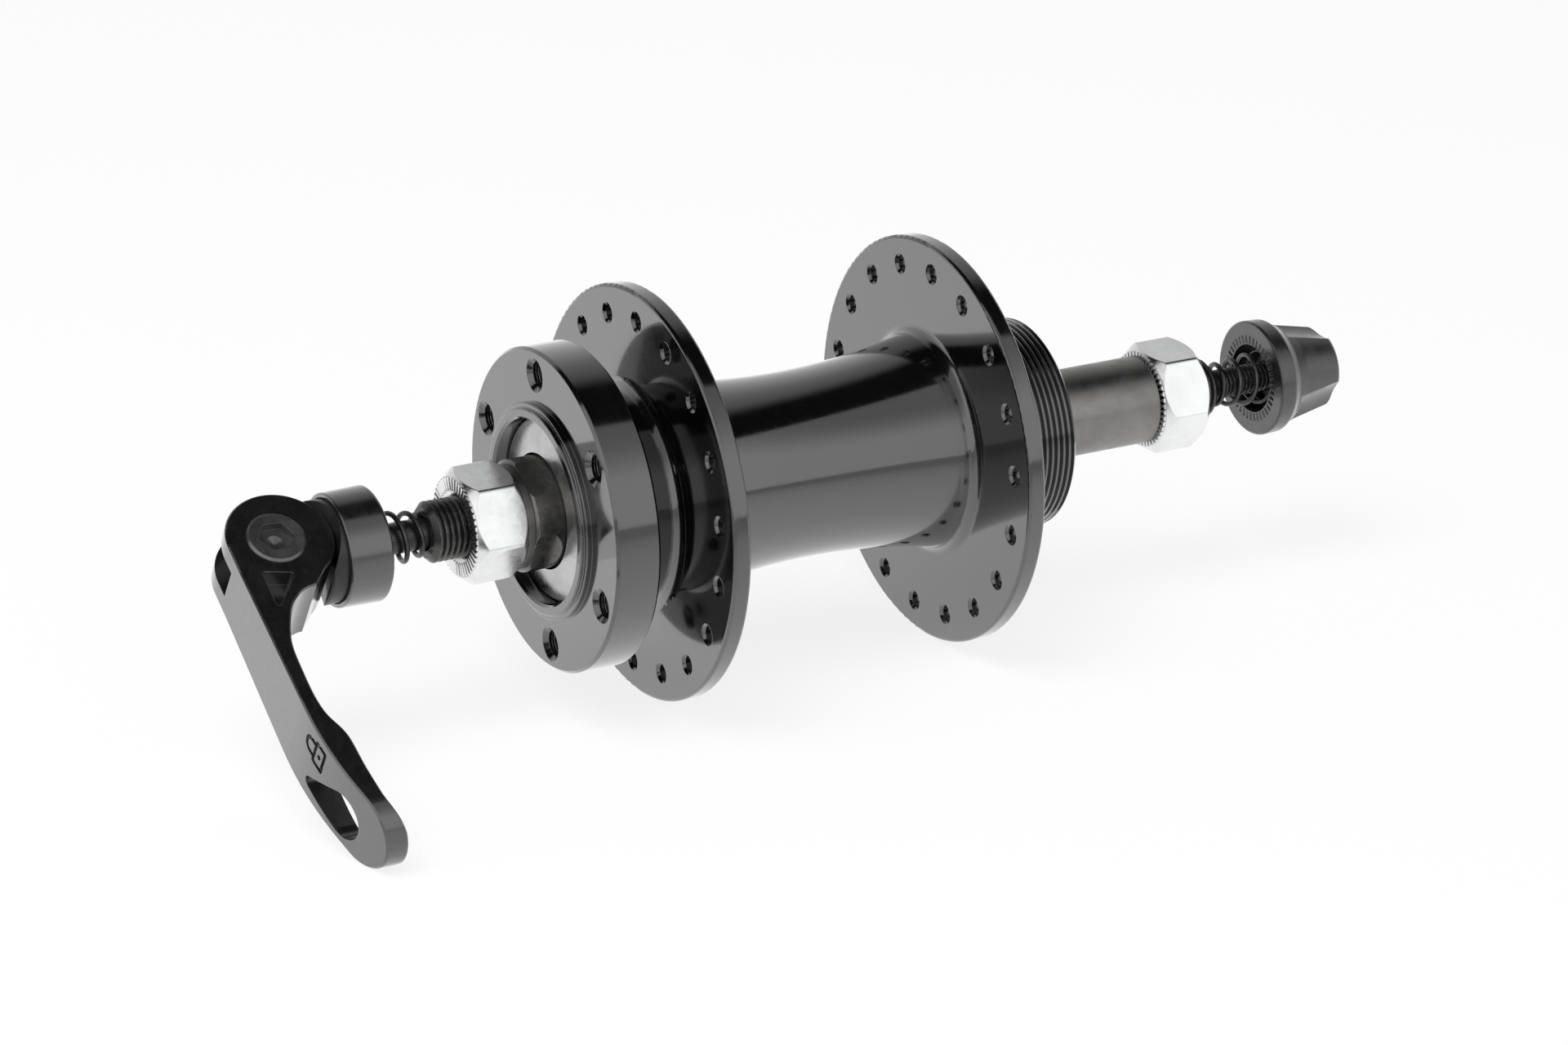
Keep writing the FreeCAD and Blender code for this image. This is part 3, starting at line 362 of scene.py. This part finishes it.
def make_floor():
    """A pale floor that the camera sees white, and that fades in reflections."""
    size = FLOOR_HALF
    mesh = bpy.data.meshes.new("floor")
    z = FLOOR_Z * MM
    corners = [(-size, -size, z), (size, -size, z), (size, size, z), (-size, size, z)]
    mesh.from_pydata(corners, [], [(0, 1, 2, 3)])
    floor = bpy.data.objects.new("floor", mesh)
    bpy.context.scene.collection.objects.link(floor)
    material = bpy.data.materials.new("floor_white")
    material.use_nodes = True
    t = Tree(material.node_tree)
    point = t.add("ShaderNodeTexCoord").outputs["Object"]
    toward = t.add("ShaderNodeVectorMath", {"operation": "DOT_PRODUCT"})
    t.put(toward, 0, point)
    t.put(toward, 1, TO_FRONT)
    path = t.add("ShaderNodeLightPath").outputs
    mirrored = t.math("MAXIMUM", path["Is Glossy Ray"], path["Is Transmission Ray"])
    seen = t.math("MAXIMUM", path["Is Camera Ray"], mirrored)
    shade = t.ramp(toward.outputs["Value"], FLOOR_NEAR_AT, FLOOR_FAR_AT,
                   FLOOR_NEAR, FLOOR_FAR, smooth=False)
    mirror_level = t.math("MULTIPLY", shade, mirrored)
    camera_level = t.math("SUBTRACT", 1.0, mirrored)
    level = t.math("ADD", mirror_level, camera_level)
    plain = t.add("ShaderNodeBsdfDiffuse", Color=grey(FLOOR_GREY))
    partly = t.add("ShaderNodeBsdfDiffuse", Color=grey(1 - FLOOR_GLOW))
    strength = t.math("MULTIPLY", level, FLOOR_GLOW)
    glow = t.add("ShaderNodeEmission", Color=grey(1.0), Strength=strength)
    lit = t.add("ShaderNodeAddShader")
    t.put(lit, 0, partly.outputs[0])
    t.put(lit, 1, glow.outputs[0])
    both = t.add("ShaderNodeMixShader", Fac=seen)
    t.put(both, 1, plain.outputs[0])
    t.put(both, 2, lit.outputs[0])
    out = t.add("ShaderNodeOutputMaterial")
    t.put(out, "Surface", both.outputs[0])
    mesh.materials.append(material)


def make_world():
    """Two soft walls that lean in over the part, with a dark gap between them overhead."""
    world = bpy.data.worlds.new("studio")
    bpy.context.scene.world = world
    world.use_nodes = True
    t = Tree(world.node_tree)
    direction = t.add("ShaderNodeTexCoord").outputs["Generated"]

    def along(vector):
        dot = t.add("ShaderNodeVectorMath", {"operation": "DOT_PRODUCT"})
        t.put(dot, 0, direction)
        t.put(dot, 1, vector)
        return dot.outputs["Value"]

    # Where a ray meets a ceiling at unit height: towards the front wall, and along it
    height = t.add("ShaderNodeSeparateXYZ", Vector=direction).outputs[2]
    rise = t.math("MAXIMUM", height, LOWEST_RISE)
    toward = t.math("DIVIDE", along(TO_FRONT), rise)
    beside = t.math("DIVIDE", along(ALONG_FRONT), rise)
    beside = t.math("MAXIMUM", beside, BESIDE_LIMITS[0])
    beside = t.math("MINIMUM", beside, BESIDE_LIMITS[1])
    edge = t.math("ADD", toward, t.math("MULTIPLY", beside, FRONT_SLANT))
    front = t.ramp(edge, *FRONT_EDGE)
    back = t.ramp(toward, *BACK_EDGE, 1.0, 0.0)

    # The front wall fades towards its top, and the back wall all the way up
    front_fade = t.ramp(height, *FRONT_FADE, FRONT_LOW, FRONT_TOP)
    front_level = t.math("MULTIPLY", front, front_fade)
    back_low = t.ramp(height, *BACK_FADE_LOW, BACK_LOW, BACK_MID, smooth=False)
    back_high = t.ramp(height, *BACK_FADE_HIGH, 0.0, BACK_MID - BACK_TOP, smooth=False)
    back_level = t.math("MULTIPLY", back, t.math("SUBTRACT", back_low, back_high))
    strength = t.math("MAXIMUM", t.math("MAXIMUM", front_level, back_level), GAP_LEVEL)
    path = t.add("ShaderNodeLightPath").outputs
    inside = t.add("ShaderNodeBackground", Color=grey(1.0), Strength=strength)
    behind = t.add("ShaderNodeBackground", Color=grey(1.0), Strength=1.0)
    both = t.add("ShaderNodeMixShader", Fac=path["Is Camera Ray"])
    t.put(both, 1, inside.outputs[0])
    t.put(both, 2, behind.outputs[0])
    out = t.add("ShaderNodeOutputWorld")
    t.put(out, "Surface", both.outputs[0])


def make_key_lamp():
    """A round soft lamp that looks at the part and leaves no reflection of itself."""
    light = bpy.data.lights.new("key", "AREA")
    light.shape = "DISK"
    light.size = KEY_SIZE
    light.energy = KEY_POWER
    lamp = bpy.data.objects.new("key", light)
    bpy.context.scene.collection.objects.link(lamp)
    lamp.location = KEY_AT
    lamp.rotation_mode = "QUATERNION"
    away = -Vector(KEY_AT)
    lamp.rotation_quaternion = away.to_track_quat("-Z", "Y")
    lamp.visible_glossy = False
    lamp.visible_camera = False


def make_camera():
    data = bpy.data.cameras.new("camera")
    data.lens = CAMERA_LENS
    data.sensor_width = CAMERA_SENSOR
    data.clip_start = 0.01
    data.clip_end = 20.0
    camera = bpy.data.objects.new("camera", data)
    bpy.context.scene.collection.objects.link(camera)
    turn = Matrix((CAMERA_RIGHT, CAMERA_UP, CAMERA_BACK)).transposed()
    place = Vector(CAMERA_AT) * MM
    camera.matrix_world = Matrix.Translation(place) @ turn.to_4x4()
    bpy.context.scene.camera = camera


make_floor()
make_world()
make_key_lamp()
make_camera()
bpy.context.scene.view_settings.view_transform = "Standard"
